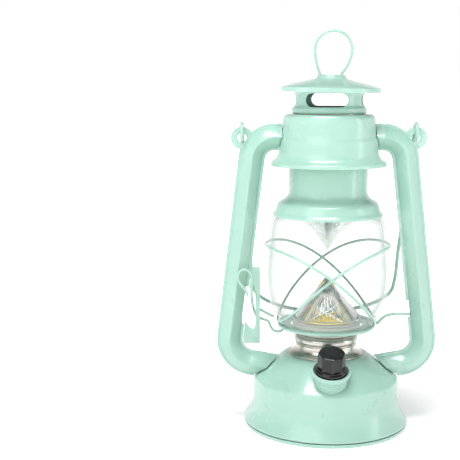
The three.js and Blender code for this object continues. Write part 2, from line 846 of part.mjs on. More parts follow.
// Half of the tube's section: x runs across the tube and y is the depth from the seam.
function halfSection(sign) {
  const w = tubeHalfWidth;
  const d = tubeHalfDepth;
  const seam = gap / 2;
  const outer = [
    [-w, seam], [-w, seam + sheet], [-w + 1.1, seam + sheet], [-w + 2, 3.4], [-0.9, d],
    [0.9, d], [w - 2, 3.4], [w - 1.1, seam + sheet], [w, seam + sheet], [w, seam],
  ];
  const inner = [
    [w - 2, seam], [w - 2.8, 3], [0, d - 0.9], [-w + 2.8, 3], [-w + 2, seam],
  ];
  return new THREE.Shape([...outer, ...inner].map(([x, y]) => new THREE.Vector2(x, sign * y)));
}

function tubeEnvelope(side, halfDepth) {
  const w = tubeHalfWidth + gap;
  const section = new THREE.Shape([[-w, -halfDepth], [w, -halfDepth], [w, halfDepth], [-w, halfDepth]]
    .map(([x, y]) => new THREE.Vector2(x, y)));
  return swept(tubeRoute(side), section, tubeSteps);
}

function chamberEnvelope() {
  const grown = offsetOutline(chamberOutline(), gap);
  return turned([[0, grown[0][1]], ...grown, [0, grown.at(-1)[1]]]);
}

const earZ = tubeTopZ - 0.8;
const guideZ = ringZ + 6.9;

function makeTubes() {
  const trims = [chamberEnvelope(), fontEnvelope()];
  for (const side of [-1, 1]) {
    for (const face of [1, -1]) {
      const earY = -face * (gap / 2 + sheet / 2);
      const half = swept(tubeRoute(side), halfSection(-side * face), tubeSteps);
      const ear = rod(earRadius, sheet, 'y', side * earX, earY, earZ, smallFacets);
      const hole = rod(earHoleRadius, 8, 'y', side * earX, 0, earZ, 14);
      const tools = [...trims, hole];
      if (side > 0) {
        const slotX = lowerBendX + lowerBendRadius - tubeHalfWidth - 2;
        tools.push(block(12, 3, liftTravel + 4, slotX, 0, guideZ + liftTravel / 2));
      }
      const name = `side_tube_${side < 0 ? 'left' : 'right'}_${face > 0 ? 'front' : 'back'}`;
      piece(name, cut(join(half, ear), ...tools), paint);
    }
  }
}

// ---------------------------------------------------------------- globe lift

const leverPivot = [-51.8, 84.3];

function makeLift() {
  const right = -46.7;
  const [bottom, top] = [56.5, 111.1];
  const outline = new THREE.Shape([[-80, bottom], [right, bottom], [right, top], [-80, top]]
    .map(([x, z]) => new THREE.Vector2(x, z)));
  const body = plate(outline, plateThickness, 0);
  const windowRight = leverPivot[0] + hoopWire + 0.4;
  const windowHalf = 15.5;
  const middleZ = leverPivot[1];
  const window = new THREE.Shape();
  window.moveTo(windowRight, middleZ - windowHalf);
  window.lineTo(windowRight, middleZ + windowHalf);
  window.quadraticCurveTo(windowRight - 15, middleZ, windowRight, middleZ - windowHalf);
  const outside = block(60, 6, 90, -(lowerBendX + lowerBendRadius) - 30, 0, (bottom + top) / 2); // beyond the tube's middle
  piece('lift_bracket', cut(
    body,
    plate(window, 6, 0),
    tubeEnvelope(-1, 3),
    outside,
  ), paint);

  piece('lift_lever', smoothWire([
    [-30.2, 3.2, ringZ - 2],
    [-30.4, 3.2, ringZ - 4.9],
    [-32.8, 3.2, ringZ - 6.5],
    [-36.2, 3.2, ringZ - 6.2],
    [-38.8, 3.2, ringZ - 3.6],
    [-40.8, 3.2, ringZ + 0.6],
    [-44.2, 3.2, ringZ + 2.2],
    [-47.8, 3.2, ringZ + 3.6],
    [-50.2, 3.2, ringZ + 7.2],
    [-51.5, 2.6, leverPivot[1] - 1.8],
    [leverPivot[0], 0, leverPivot[1]],
    [-52.2, -3.4, 86.2],
    [-52.7, -8, 92],
    [-52.8, -9.8, 99],
    [-52.6, -10.2, 105.8],
    [-54.9, -10.4, 110.2],
    [-59.1, -10.4, 110.9],
    [-62.1, -10.4, 107],
    [-60.9, -10.2, 101.8],
    [-57.5, -9.8, 97.4],
    [-55.4, -8.8, 92.6],
  ], hoopWire, 42), paint);
}

// ---------------------------------------------------------------- bail

const hookZ = earZ - (earHoleRadius - bailWire) + 0.4 + hookRadius;

function makeBail() {
  const armLength = bailLength - 22;
  const rest = Math.asin((ringRadius + ringWire + gap + bailWire - hookRadius) / bailLength);
  // A point on the hanging bail, from its distance below the hooks.
  const hang = (x, s) => [x, hookRadius + s * Math.sin(rest), hookZ - s * Math.cos(rest)];
  const points = [];
  const hook = (x) => {
    const turn = [];
    for (let i = 0; i <= 9; i += 1) {
      const angle = (290 - i * 32) * radians;
      turn.push([x, hookRadius * Math.cos(angle), hookZ + hookRadius * Math.sin(angle)]);
    }
    return turn;
  };
  points.push(...hook(-earX));
  const inset = (s) => earX + ((bailHalfWidth - earX) * s) / armLength;
  for (const s of [10, 30, 60, 90]) points.push(hang(-inset(s), s));
  const bowSteps = 12;
  for (let i = 0; i <= bowSteps; i += 1) {
    const angle = Math.PI - (Math.PI * i) / bowSteps;
    points.push(hang(bailHalfWidth * Math.cos(angle), armLength + (bailLength - armLength) * Math.sin(angle)));
  }
  for (const s of [90, 60, 30, 10]) points.push(hang(inset(s), s));
  points.push(...hook(earX).reverse());
  piece('bail', smoothWire(points, bailWire, 68), paint);
}

makeFont();
makeDoor();
makeBatteryTray();
makeDriverBoard();
makeWiring();
makeSpout();
makeKnob();
makeCollar();
makeLight();
makeGlobe();
makeChimney();
makeCrown();
makeCap();
makeChamber();
makeTubes();
makeLift();
makeBail();

export default lantern;
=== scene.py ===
import math

import bpy
from mathutils import Matrix, Vector


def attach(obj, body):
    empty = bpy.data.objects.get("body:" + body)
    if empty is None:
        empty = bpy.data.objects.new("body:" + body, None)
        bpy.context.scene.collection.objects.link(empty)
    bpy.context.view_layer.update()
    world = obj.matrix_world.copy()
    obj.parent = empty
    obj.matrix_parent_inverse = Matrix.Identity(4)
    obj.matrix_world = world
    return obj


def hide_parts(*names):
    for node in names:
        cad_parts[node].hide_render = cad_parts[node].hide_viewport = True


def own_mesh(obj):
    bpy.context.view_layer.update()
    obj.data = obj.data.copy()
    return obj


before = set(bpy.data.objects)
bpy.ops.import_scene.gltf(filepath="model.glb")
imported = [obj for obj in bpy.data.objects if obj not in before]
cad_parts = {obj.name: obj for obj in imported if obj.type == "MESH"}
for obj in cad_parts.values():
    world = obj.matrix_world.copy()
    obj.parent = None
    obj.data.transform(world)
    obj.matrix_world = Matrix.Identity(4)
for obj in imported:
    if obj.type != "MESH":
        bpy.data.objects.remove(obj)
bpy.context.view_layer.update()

# ------------------------------------------------------------------ the view
# A lantern on a pale floor, seen from a little above its globe and a few degrees left of its
# knob. A window-like panel lights it from the left, a weaker one from the right and a strip from
# above, and the surroundings are pale round the horizon and dark overhead.
bpy.ops.object.select_all(action='DESELECT')
bpy.ops.object.camera_add(location=(-0.0605, -0.6915, 0.240),
                          rotation=(math.radians(90 - 8.45), 0, math.radians(0.605)))
camera = bpy.context.object
camera.data.sensor_width, camera.data.lens = 36, 78.63
bpy.context.scene.camera = camera
bpy.context.scene.view_settings.view_transform = 'Standard'


def panel_light(name, place, aim, size, watts):
    bpy.ops.object.light_add(type='AREA', location=place)
    lamp = bpy.context.object
    lamp.name = name
    lamp.rotation_euler = (Vector(aim) - Vector(place)).to_track_quat('-Z', 'Y').to_euler()
    lamp.data.shape = 'RECTANGLE'
    lamp.data.size, lamp.data.size_y = size
    lamp.data.energy = watts


panel_light('window_left', (-0.6, -0.85, 0.85), (0, 0, 0.12), (0.9, 0.9), 5.0)
panel_light('window_right', (1.05, -0.3, 0.4), (0, 0, 0.13), (0.25, 0.9), 1.7)
panel_light('ceiling', (-0.12, -0.3, 1.15), (0, 0, 0.1), (0.7, 0.28), 9.5)

world = bpy.data.worlds.new('studio')
bpy.context.scene.world = world
world.use_nodes = True
sky = world.node_tree
pale_up_to, dark_from = 0.26, 0.5        # sines of the height above the horizon
pale_sky, dark_sky = (1.0, 1.0, 1.0, 1), (0.1, 0.103, 0.107, 1)
direction = sky.nodes.new('ShaderNodeTexCoord')
axes = sky.nodes.new('ShaderNodeSeparateXYZ')
sky.links.new(direction.outputs['Generated'], axes.inputs[0])
elevation = sky.nodes.new('ShaderNodeMapRange')
elevation.inputs['From Min'].default_value = pale_up_to
elevation.inputs['From Max'].default_value = dark_from
sky.links.new(axes.outputs['Z'], elevation.inputs['Value'])
shade = sky.nodes.new('ShaderNodeMix')
shade.data_type = 'RGBA'
shade.inputs[6].default_value = pale_sky
shade.inputs[7].default_value = dark_sky
sky.links.new(elevation.outputs['Result'], shade.inputs[0])
backdrop = sky.nodes['Background']
sky.links.new(shade.outputs[2], backdrop.inputs['Color'])


# Shader maths is written as plain expressions: a Signal is one output of a node.
class Signal:
    def __init__(self, tree, socket):
        self.tree, self.socket = tree, socket

    def node(self, kind, settings=None, output=0, **values):
        return make_node(self.tree, kind, settings, output, **values)

    def math(self, operation, *others):
        made = self.tree.nodes.new('ShaderNodeMath')
        made.operation = operation
        for value, socket in zip((self,) + others, made.inputs):
            plug(self.tree, value, socket)
        return Signal(self.tree, made.outputs[0])

    def __add__(self, other):
        return self.math('ADD', other)

    def __mul__(self, other):
        return self.math('MULTIPLY', other)

    def __pow__(self, other):
        return self.math('POWER', other)

    def __rsub__(self, other):
        return (self * -1).math('ADD', other)

    def clip(self, low, high):
        """0 below low, 1 above high and even between."""
        return self.node('ShaderNodeMapRange', Value=self,
                         **{'From Min': low, 'From Max': high})


def plug(tree, value, socket):
    if isinstance(value, Signal):
        tree.links.new(value.socket, socket)
    elif isinstance(value, tuple) and len(value) == 3 and socket.type == 'RGBA':
        socket.default_value = (*value, 1)
    else:
        socket.default_value = value


def make_node(tree, kind, settings=None, output=0, **values):
    made = tree.nodes.new(kind)
    for key, value in (settings or {}).items():
        setattr(made, key, value)
    for key, value in values.items():
        plug(tree, value, made.inputs[key])
    return Signal(tree, made.outputs[output])


class Finish:
    """One material: a Principled shader, whose steady values are set on its own sockets."""

    def __init__(self, name, **steady):
        self.material = bpy.data.materials.new(name)
        self.material.use_nodes = True
        self.tree = self.material.node_tree
        self.shader = self.tree.nodes['Principled BSDF']
        self.place = self.node('ShaderNodeTexCoord', output='Object')
        for key, value in steady.items():
            plug(self.tree, value, self.shader.inputs[key.replace('_', ' ')])

    def node(self, kind, settings=None, output=0, **values):
        return make_node(self.tree, kind, settings, output, **values)

    def noise(self, scale, detail=2, place=None):
        return self.node('ShaderNodeTexNoise', Vector=place or self.place, Scale=scale,
                         Detail=detail)

    def stretched(self, x, y, z):
        return self.node('ShaderNodeMapping', Vector=self.place, Scale=(x, y, z))

    def blend(self, factor, first, second):
        made = self.tree.nodes.new('ShaderNodeMix')
        made.data_type = 'RGBA'
        for value, socket in ((factor, 0), (first, 6), (second, 7)):
            plug(self.tree, value, made.inputs[socket])
        return Signal(self.tree, made.outputs[2])

    def bump(self, height, strength, distance, under=None):
        made = self.tree.nodes.new('ShaderNodeBump')
        plug(self.tree, height, made.inputs['Height'])
        made.inputs['Strength'].default_value = strength
        made.inputs['Distance'].default_value = distance
        if under is not None:
            self.tree.links.new(under.socket, made.inputs['Normal'])
        return Signal(self.tree, made.outputs['Normal'])

    def wear(self, low, high):
        """Rises from 0 to 1 between two degrees of pointedness; 0.5 is flat."""
        return self.node('ShaderNodeNewGeometry', output='Pointiness').clip(low, high)

    def set(self, **links):
        for key, value in links.items():
            plug(self.tree, value, self.shader.inputs[key.replace('_', ' ')])
        return self.material


# The floor glows so that it reads white, but less near the lantern: a painted shade round its foot.
floor_finish = Finish('studio_floor', Roughness=0.8, Emission_Strength=1.0)
painted_shade_fade_from, painted_shade_fade_to = 0.08, 0.4        # metres from the lantern's axis
floor_distance = floor_finish.node('ShaderNodeVectorMath', {'operation': 'LENGTH'},
                                   output='Value', Vector=floor_finish.place)
floor_finish.set(
    Base_Color=floor_finish.blend(floor_finish.noise(3.0), (0.90, 0.90, 0.895),
                                  (0.93, 0.93, 0.93)),
    Emission_Color=floor_finish.blend(floor_distance.clip(painted_shade_fade_from, painted_shade_fade_to),
                                      (0.4, 0.4, 0.4), (0.95, 0.95, 0.95)))
bpy.ops.mesh.primitive_plane_add(size=60, location=(0, 0, -0.0001))
floor = bpy.context.object
floor.name = 'studio_floor'
floor.data.materials.append(floor_finish.material)

MM = 0.001        # the sizes of the pieces are written in millimetres


# ------------------------------------------------------------------ the font
# The round base, once the oil tank: one sheet of steel pressed into a sloping shoulder, an upright
# wall and a hollow-curved skirt, then dipped in mint enamel. The spout's hole is cut through it.
mint, deep_mint = (0.375, 0.6, 0.505), (0.285, 0.5, 0.41)
# The dark tone serves the specks and grime, and in the creases also painted shade.
pale_mint, grime_and_shade_tone = (0.52, 0.73, 0.65), (0.1, 0.19, 0.155)


def enamelled(name, edge_wear):
    """Satin mint enamel: faintly cloudy, with an orange-peel surface and a few dark specks. On
    pressed sheet its creases are darkened, painted shade and grime, and its raised edges are rubbed
    a little paler; on wire the darkening is random spots of grime."""
    enamel = Finish(name, Coat_Weight=0.5, Coat_Roughness=0.09)
    clouds = enamel.noise(24, 3)
    specks = enamel.noise(1900, 2).clip(0.72, 0.8)
    patches = enamel.noise(160, 5).clip(0.42, 0.66)
    if edge_wear:
        rubbed = patches * enamel.wear(0.535, 0.62)
        # Creases darkened where the surface is concave: painted shade and grime.
        shade_and_grime = 1 - enamel.wear(0.40, 0.46)
    else:
        rubbed = patches * 0.2
        shade_and_grime = enamel.noise(300, 3).clip(0.66, 0.8) * 0.3
    coat = enamel.blend(clouds * 0.4, mint, deep_mint)
    coat = enamel.blend(specks * (0.1 if edge_wear else 0.01), coat, grime_and_shade_tone)
    coat = enamel.blend(rubbed * 0.6, coat, pale_mint)
    # Darkens the creases: painted shade and grime.
    coat = enamel.blend(shade_and_grime * 0.6, coat, grime_and_shade_tone)
    dents = enamel.bump(enamel.noise(38, 1), 0.16, 0.0012)
    peel = enamel.bump(enamel.noise(850, 2), 0.10 if edge_wear else 0.03, 0.00012, dents)
    return enamel.set(Base_Color=coat, Normal=peel,
                      Roughness=enamel.noise(60, 5) * 0.14 + rubbed * 0.12 + shade_and_grime * 0.2 + 0.22)


mint_enamel = enamelled('mint_enamel', edge_wear=True)
mint_wire = enamelled('mint_enamel_wire', edge_wear=False)


def apply(piece, kind, **settings):
    modifier = piece.modifiers.new(kind.lower(), kind)
    for key, value in settings.items():
        setattr(modifier, key, value)
    bpy.context.view_layer.objects.active = piece
    bpy.ops.object.modifier_apply(modifier=modifier.name)


def alone(piece):
    bpy.ops.object.select_all(action='DESELECT')
    piece.select_set(True)
    bpy.context.view_layer.objects.active = piece


def pick(piece, chosen):
    """Opens a piece for editing with only the corners selected whose place in mm is chosen."""
    alone(piece)
    bpy.ops.object.mode_set(mode='EDIT')
    bpy.ops.mesh.select_mode(type='VERT')
    bpy.ops.mesh.select_all(action='DESELECT')
    bpy.ops.object.mode_set(mode='OBJECT')
    for corner in piece.data.vertices:
        corner.select = bool(chosen(corner.co / MM))
    bpy.ops.object.mode_set(mode='EDIT')


def settle(piece):
    """Puts the piece's place into its mesh and leaves its object at the origin."""
    alone(piece)
    bpy.ops.object.transform_apply(location=True, rotation=True, scale=True)
    return piece


def face_outwards(piece, merge=0.004):
    """Joins corners nearer than merge, in mm, and turns every face outwards."""
    alone(piece)
    bpy.ops.object.mode_set(mode='EDIT')
    bpy.ops.mesh.select_all(action='SELECT')
    bpy.ops.mesh.remove_doubles(threshold=merge * MM)
    bpy.ops.mesh.normals_make_consistent(inside=False)
    bpy.ops.object.mode_set(mode='OBJECT')
    return piece


def turned(rings, around=128, close=False):
    """Raises rings of [radius, height] in mm one from another off a circle, as on a lathe.
    A first or last radius of 0 closes the shape on its axis, close=True joins both ends."""
    needle = 0.001
    rings = [[max(r, needle), z] for r, z in rings]
    bpy.ops.mesh.primitive_circle_add(vertices=around, radius=rings[0][0] * MM,
                                      location=(0, 0, rings[0][1] * MM))
    piece = bpy.context.object
    bpy.ops.object.mode_set(mode='EDIT')
    for (r0, z0), (r1, z1) in zip(rings, rings[1:]):
        bpy.ops.mesh.extrude_region_move(TRANSFORM_OT_translate={'value': (0, 0, (z1 - z0) * MM)})
        bpy.ops.transform.resize(value=(r1 / r0, r1 / r0, 1))
    if close:
        bpy.ops.mesh.select_mode(type='EDGE')
        bpy.ops.mesh.select_all(action='DESELECT')
        bpy.ops.mesh.select_non_manifold(extend=False, use_wire=False, use_boundary=True,
                                         use_multi_face=False, use_non_contiguous=False,
                                         use_verts=False)
        bpy.ops.mesh.bridge_edge_loops()
        bpy.ops.mesh.select_mode(type='VERT')
    bpy.ops.object.mode_set(mode='OBJECT')
    return face_outwards(settle(piece))


def soften(piece, width, segments=3, angle=24):
    apply(piece, 'BEVEL', width=width * MM, segments=segments, limit_method='ANGLE',
          angle_limit=math.radians(angle), use_clamp_overlap=True, miter_outer='MITER_SHARP')


def walled(piece, thickness):
    apply(piece, 'SOLIDIFY', thickness=thickness * MM, offset=-1, use_even_offset=True)


def smooth(piece, angle=38):
    alone(piece)
    bpy.ops.object.shade_smooth_by_angle(angle=math.radians(angle))


def carve(piece, *tools, operation='DIFFERENCE'):
    for tool in tools:
        apply(piece, 'BOOLEAN', operation=operation, object=tool, solver='EXACT')
        bpy.data.objects.remove(tool)


def curved(points, steps):
    """More points on one smooth line through these, so that a pressed curve has no corners."""
    ends = [points[0], *points, points[-1]]
    line = []
    for i in range(len(points) - 1):
        a, b, c, d = (Vector(p) for p in ends[i:i + 4])
        for k in range(steps):
            t = k / steps
            line.append((2 * b + (c - a) * t + (2 * a - 5 * b + 4 * c - d) * t ** 2
                         + (3 * b - a - 3 * c + d) * t ** 3) / 2)
    return [list(p) for p in line] + [list(points[-1])]


def fit(piece, name, finish, body, slot, *nodes):
    """Names a finished piece, gives it its finish and body, and puts it in place of its nodes."""
    piece.name = piece.data.name = name
    piece.data.materials.clear()
    piece.data.materials.append(finish)
    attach(piece, body)
    if nodes:
        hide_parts(*nodes)
    return piece


sheet, base_radius, wall_radius, foot_z, flare = 0.8, 57.5, 50.8, 3.25, 17.0
skirt = [[wall_radius + (base_radius - wall_radius) * (1 - i / 12) ** 2,
          foot_z + 0.8 + flare * i / 12]
         for i in range(13)]
shoulder = [[wall_radius, 31.6], [wall_radius - 0.25, 32.7], [wall_radius - 1.0, 33.9],
            [32.6, 47.7], [30.6, 49.1], [28.6, 49.9], [26.4, 50.2], [20.2, 50.2]]
font = turned([[base_radius, foot_z], *skirt, *shoulder])
soften(font, 0.5, 2, 14)
walled(font, sheet)
spout_tilt, spout_mouth, spout_hole = math.radians(20), (0, -0.042, 0.0495), 9.9


def onto_spout(piece):
    """A piece made upright on the origin is laid along the spout's axis, its zero at the mouth."""
    piece.rotation_euler = (spout_tilt, 0, 0)
    piece.location = spout_mouth
    return settle(piece)


carve(font, onto_spout(turned([[0, -20], [spout_hole, -20], [spout_hole, 4], [0, 4]], 48)))
smooth(font, 30)
fit(font, 'enamel_font', mint_enamel, 'frame', 'painted_steel', 'font_shell')

# ------------------------------------------------------------------ the folded rim
# The font's lower edge is folded over a ring of the same sheet, which the lantern stands on. A thin
# dark seam is left between them.
rim = turned([[48.7, 1.6], [53.2, 1.6], [54.0, 0.7], [54.7, 0.1], [55.3, 0.0], [56.3, 0.0],
              [57.0, 0.25], [57.4, 0.8], [57.5, 1.4], [57.5, 2.1], [57.2, 2.45], [56.6, 2.5],
              [56.3, 2.3], [56.0, 1.5], [55.4, 1.2], [54.8, 1.4], [53.9, 2.6], [53.2, 2.7],
              [48.7, 2.7]], close=True)
smooth(rim, 40)
fit(rim, 'folded_rim', mint_enamel, 'frame', 'painted_steel', 'base_rim')

# ------------------------------------------------------------------ the battery door
# A moulded black plastic cover that closes the font from below: a rimmed disc with a raised bar to
# turn it by, two finger dimples, and three lugs that lock it behind the rim.
black_moulding = Finish('black_moulding', Roughness=0.3, Specular_IOR_Level=0.5)
scuffs = black_moulding.noise(90, 6).clip(0.45, 0.75)
grain = black_moulding.bump(black_moulding.noise(1500, 2), 0.12, 0.00008)
black_plastic = black_moulding.set(
    Base_Color=black_moulding.blend(scuffs * 0.35 + black_moulding.wear(0.56, 0.66) * 0.25,
                                    (0.006, 0.006, 0.007), (0.035, 0.035, 0.037)),
    Roughness=scuffs * 0.16 + 0.13, Normal=grain)


def slab(size, place, bevel):
    """A block of that size in mm with its edges rounded."""
    bpy.ops.mesh.primitive_cube_add(size=1, location=[v * MM for v in place])
    piece = bpy.context.object
    piece.scale = [v * MM for v in size]
    settle(piece)
    alone(piece)
    bpy.ops.object.mode_set(mode='EDIT')
    bpy.ops.mesh.select_all(action='SELECT')
    bpy.ops.mesh.bevel(offset=bevel * MM, segments=3, affect='EDGES')
    bpy.ops.object.mode_set(mode='OBJECT')
    return piece


def peg(radius, low, high, x=0, y=0, around=32):
    """A plain upright cutter or pin."""
    bpy.ops.mesh.primitive_cylinder_add(vertices=around, radius=radius * MM,
                                        depth=(high - low) * MM,
                                        location=(x * MM, y * MM, (low + high) / 2 * MM))
    return settle(bpy.context.object)


door = turned([[0, 1.9], [24, 1.9], [24.4, 2.2], [25.6, 2.2], [26, 1.9], [42, 1.9], [42.4, 2.2],
               [43.6, 2.2], [44, 1.9], [47.3, 1.9], [48, 2.2], [48.2, 2.6], [48.2, 3.1],
               [47.6, 3.2], [47.6, 4.2], [46, 4.2], [46, 3.1], [0, 3.1]])
grip_bar, lugs, lug_size, lug_place = (56, 5, 1.5), 3, (4.2, 12, 1.0), (48.4, 0, 3.65)
dimple_radius, dimple_x, dimple_foot, dimple_top = 3.4, 34, 0.5, 2.8
carve(door, slab(grip_bar, (0, 0, 1.35), 0.5), operation='UNION')
for i in range(lugs):
    lug = slab(lug_size, lug_place, 0.25)
    lug.rotation_euler = (0, 0, i * math.tau / lugs)
    carve(door, settle(lug), operation='UNION')
carve(door, *(peg(dimple_radius, dimple_foot, dimple_top, x) for x in (-dimple_x, dimple_x)))
soften(door, 0.18, 2, 30)
smooth(door)
fit(door, 'bayonet_door', black_plastic, 'door', 'black_plastic', 'battery_door')

# ------------------------------------------------------------------ the battery tray and its wiring
# Two cells lie head to tail in a grey tray, between coil springs and plated strips, under the small
# circuit board. All of it is closed in by the door and keeps the frame's own shapes.
tray_plastic = Finish('grey_moulding', Roughness=0.6)
grey_moulding = tray_plastic.set(
    Base_Color=tray_plastic.blend(tray_plastic.noise(140, 5), (0.045, 0.047, 0.05),
                                  (0.075, 0.077, 0.08)),
    Roughness=tray_plastic.noise(70, 4) * 0.25 + 0.45,
    Normal=tray_plastic.bump(tray_plastic.noise(1300, 2), 0.3, 0.0001))

spring_wire = Finish('bright_spring_steel', Roughness=0.3, Metallic=1.0)
spring_steel = spring_wire.set(
    Base_Color=spring_wire.blend(spring_wire.noise(200, 4), (0.46, 0.45, 0.43),
                                 (0.62, 0.61, 0.59)),
    Roughness=spring_wire.noise(420, 5) * 0.3 + 0.18,
    Normal=spring_wire.bump(spring_wire.noise(900, 3), 0.15, 0.0001))

sleeve = Finish('cell_sleeve', Roughness=0.4)
band = sleeve.node('ShaderNodeSeparateXYZ', Vector=sleeve.place, output=1).clip(0.008, 0.0084)
cell_sleeve = sleeve.set(
    Base_Color=sleeve.blend(band, (0.03, 0.032, 0.036), (0.45, 0.24, 0.1)),
    Metallic=band * 0.7, Roughness=sleeve.noise(120, 4) * 0.2 + 0.25,
    Normal=sleeve.bump(sleeve.noise(500, 2), 0.08, 0.0001))

board_mask = Finish('circuit_board', Roughness=0.4)
tracks = board_mask.node('ShaderNodeTexVoronoi', {'feature': 'DISTANCE_TO_EDGE'},
                         Vector=board_mask.place, Scale=320).clip(0.03, 0.06)
circuit_board = board_mask.set(
    Base_Color=board_mask.blend(tracks, (0.02, 0.11, 0.045), (0.035, 0.2, 0.08)),
    Roughness=board_mask.noise(300, 3) * 0.2 + 0.3, Normal=board_mask.bump(tracks, 0.3, 0.0001))


def flex_finish(name, tint):
    flex = Finish(name, Roughness=0.45)
    return flex.set(Base_Color=flex.blend(flex.noise(300, 4), tint,
                                          tuple(v * 1.6 + 0.01 for v in tint)),
                    Roughness=flex.noise(250, 3) * 0.25 + 0.35,
                    Normal=flex.bump(flex.noise(1800, 2), 0.15, 0.0001))


red_flex = flex_finish('red_flex', (0.38, 0.02, 0.015))
black_flex = flex_finish('black_flex', (0.01, 0.01, 0.011))


def refinish(finish, *nodes):
    """Gives nodes that keep their own shapes a new finish."""
    for name in nodes:
        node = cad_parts[name]
        node.data.materials.clear()
        node.data.materials.append(finish)


refinish(grey_moulding, 'battery_tray')
refinish(cell_sleeve, 'battery_left', 'battery_right')
refinish(spring_steel, 'contact_spring_left', 'contact_spring_right', 'contact_bridge',
         'contact_negative', 'contact_positive', 'tray_post_left', 'tray_post_right',
         'tray_screw_left', 'tray_screw_right')
refinish(circuit_board, 'driver_board')
refinish(red_flex, 'cell_wire_positive', 'led_wire_positive')
refinish(black_flex, 'cell_wire_negative', 'led_wire_negative')

# ------------------------------------------------------------------ the spout and the dimmer
# A short threaded spout, once the filler, welded to the shoulder and leaning forward. The dimmer
# sits inside it and its glossy black knob, eight-sided and a little hollow-sided, covers the mouth.
spout_radius, lip_radius, well_radius = 11.0, 13.3, 11.6
thread_foot, thread_pitch, threads = -12.6, 1.75, []
for i in range(5):
    foot = thread_foot + thread_pitch * i
    threads += [[spout_radius, foot], [spout_radius + 0.25, foot + 0.3],
                [spout_radius + 0.55, foot + 0.7], [spout_radius + 0.25, foot + 1.1],
                [spout_radius, foot + 1.35]]
spout = turned([[spout_radius - 1.2, -14.5], [spout_radius, -14.5], *threads,
                [spout_radius, -3.7], [12.3, -3.4], [12.9, -3.0], [lip_radius, -2.3],
                [lip_radius, -0.8], [12.9, -0.2], [12.3, 0.0], [well_radius + 0.3, -0.1],
                [well_radius, -0.5], [well_radius, -3.2],
                [spout_radius - 1.2, -4.0]], 96, close=True)
soften(spout, 0.15, 2, 30)
smooth(spout, 50)
fit(onto_spout(spout), 'filler_spout', mint_enamel, 'frame', 'painted_steel', 'threaded_spout')

plate_nickel = Finish('bright_nickel', Roughness=0.22, Metallic=1.0)
turned_lines = plate_nickel.noise(60, 4, plate_nickel.stretched(1, 1, 26))
tarnish = plate_nickel.noise(70, 5).clip(0.45, 0.8)
bright_nickel = plate_nickel.set(
    Base_Color=plate_nickel.blend(tarnish * 0.7, (0.56, 0.54, 0.5), (0.33, 0.3, 0.26)),
    Roughness=turned_lines * 0.16 + tarnish * 0.14 + 0.14,
    Normal=plate_nickel.bump(turned_lines, 0.12, 0.0001))
refinish(bright_nickel, 'dimmer_bulkhead', 'dimmer_nut', 'dimmer_shaft')
refinish(grey_moulding, 'dimmer_control')

knob = turned([[0, -1.2], [10.6, -1.2], [10.9, -0.9], [10.9, 0.9], [10.6, 1.4], [10.1, 1.7],
               [9.7, 2.1], [9.5, 2.7], [9.25, 12.0], [8.9, 13.0], [8.1, 13.6], [7.0, 13.8],
               [6.6, 13.5], [0, 13.5]], 128)
knob_sides, scoop_radius, scoop_reach, scoop_foot, shaft_hole = 8, 14.5, 22.75, 2.6, 3.3
for i in range(knob_sides):
    turn_by = (i + 0.5) * math.tau / knob_sides
    carve(knob, peg(scoop_radius, scoop_foot, 16, scoop_reach * math.cos(turn_by),
                    scoop_reach * math.sin(turn_by), 160))
carve(knob, peg(shaft_hole, -3, 8.5))
soften(knob, 0.3, 3, 32)
smooth(knob, 40)
fit(onto_spout(knob), 'grip_knob', black_plastic, 'knob', 'black_plastic', 'dimmer_knob')

# ------------------------------------------------------------------ the collar
# A spun nickel-plated collar, like an oil lamp's burner: a flared skirt on the font, a waist, a
# groove and a rolled bead that carries the light.
collar = turned([[25.8, 50.55], [25.8, 51.0], [24.6, 51.5], [23.2, 52.4], [22.2, 53.6],
                 [21.6, 55.0], [21.4, 56.4], [21.4, 57.6], [21.0, 57.9], [20.9, 58.3],
                 [21.2, 58.8], [21.9, 59.2], [22.4, 60.0], [22.55, 61.0], [22.4, 62.2],
                 [21.8, 63.4], [21.0, 64.3], [19.8, 64.9], [18.4, 65.0], [13.3, 65.0]], 128)
soften(collar, 0.12, 2, 26)
walled(collar, sheet)
smooth(collar, 40)
fit(collar, 'burner_collar', bright_nickel, 'frame', 'nickel', 'collar')

# ------------------------------------------------------------------ the light
# A white moulded cup on the collar holds the round board with its ring of yellow phosphor, under a
# clear fluted cone that throws the light up and out.
white_moulding = Finish('white_moulding', Roughness=0.42)
white_plastic = white_moulding.set(
    Base_Color=white_moulding.blend(white_moulding.noise(60, 5), (0.83, 0.83, 0.8),
                                    (0.72, 0.71, 0.67)),
    Roughness=white_moulding.noise(110, 4) * 0.2 + 0.32,
    Normal=white_moulding.bump(white_moulding.noise(1300, 2), 0.1, 0.0001))
cup = turned([[15.3, 65.35], [20.7, 65.35], [21.6, 65.7], [23.4, 67.4], [23.8, 68.3], [23.8, 72.4],
              [23.4, 72.8], [18.7, 72.8], [18.3, 72.4], [18.3, 67.0], [15.3, 67.0]], 96,
             close=True)
soften(cup, 0.15, 2, 40)
smooth(cup)
fit(cup, 'light_cup', white_plastic, 'frame', 'white_plastic', 'light_holder')
refinish(white_plastic, 'light_board')

# The phosphor is given a faint painted glow that brightens its yellow; the lamp is not lit.
phosphor_layer = Finish('yellow_phosphor', Emission_Strength=0.35)
dots = phosphor_layer.node('ShaderNodeTexVoronoi', Vector=phosphor_layer.place,
                           Scale=420).clip(0.2, 0.5)
yellow_phosphor = phosphor_layer.set(
    Base_Color=phosphor_layer.blend(dots, (0.95, 0.62, 0.03), (0.98, 0.78, 0.12)),
    Emission_Color=phosphor_layer.blend(dots, (0.95, 0.6, 0.03), (0.98, 0.72, 0.08)),
    Roughness=dots * 0.2 + 0.4, Normal=phosphor_layer.bump(dots, 0.4, 0.0002))
phosphor = turned([[5, 74.55], [16.2, 74.55], [16.2, 74.9], [15.8, 75.2], [5.4, 75.2], [5, 74.9]],
                  96, close=True)
smooth(phosphor)
fit(phosphor, 'phosphor_ring', yellow_phosphor, 'frame', 'phosphor', 'light_emitter')

